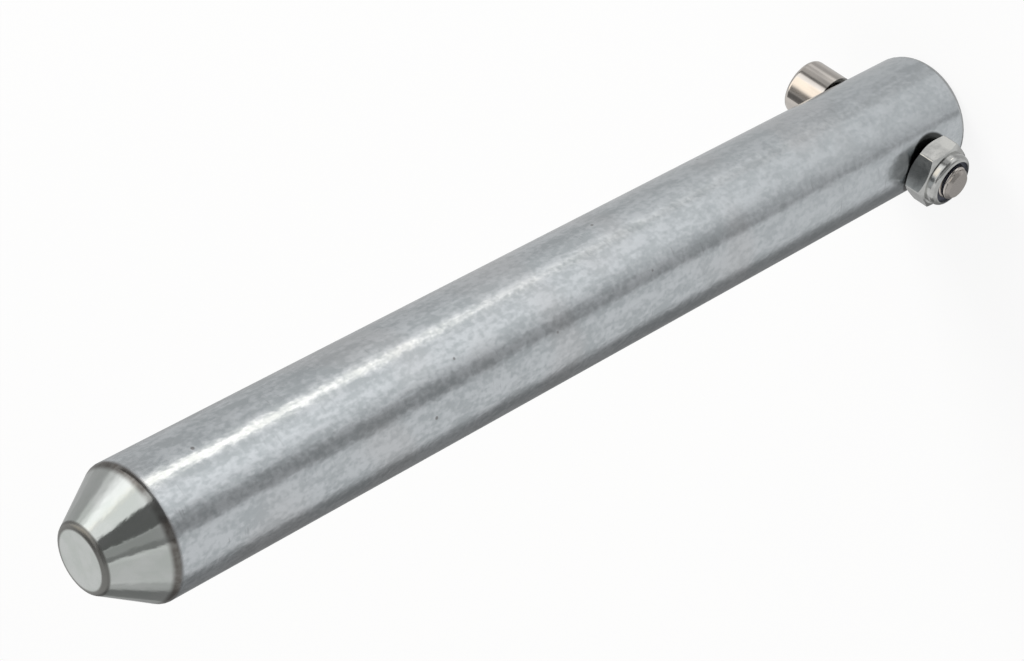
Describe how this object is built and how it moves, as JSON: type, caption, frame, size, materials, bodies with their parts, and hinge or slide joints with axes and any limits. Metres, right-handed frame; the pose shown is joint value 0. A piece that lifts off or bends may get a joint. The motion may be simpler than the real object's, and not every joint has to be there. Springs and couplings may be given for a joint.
{
  "type": "center pin",
  "caption": "Round steel pin with a coned nose, cross-drilled near its square end for a socket head bolt and a lock nut that stop it in its holes.",
  "frame": {"origin": "the centre of the pin's square end, which it stands on", "axes": "+Z along the pin from its square end to its nose, +Y along the cross bolt from its head to its lock nut"},
  "size_m": [0.0254, 0.0415, 0.2142],
  "materials": {
    "zinc_plated_bar": "bright zinc plate over drawn bar, satin with fine mottling",
    "stainless_bolt": "turned stainless steel, smooth and bright",
    "zinc_plated_nut": "blue zinc plate, semi-bright",
    "nylon": "dark blue nylon, dull"
  },
  "bodies": {
    "root": {"pin": "zinc_plated_bar", "cross_bolt": "stainless_bolt", "lock_nut": "zinc_plated_nut", "nylon_insert": "nylon"}
  },
  "joints": []
}
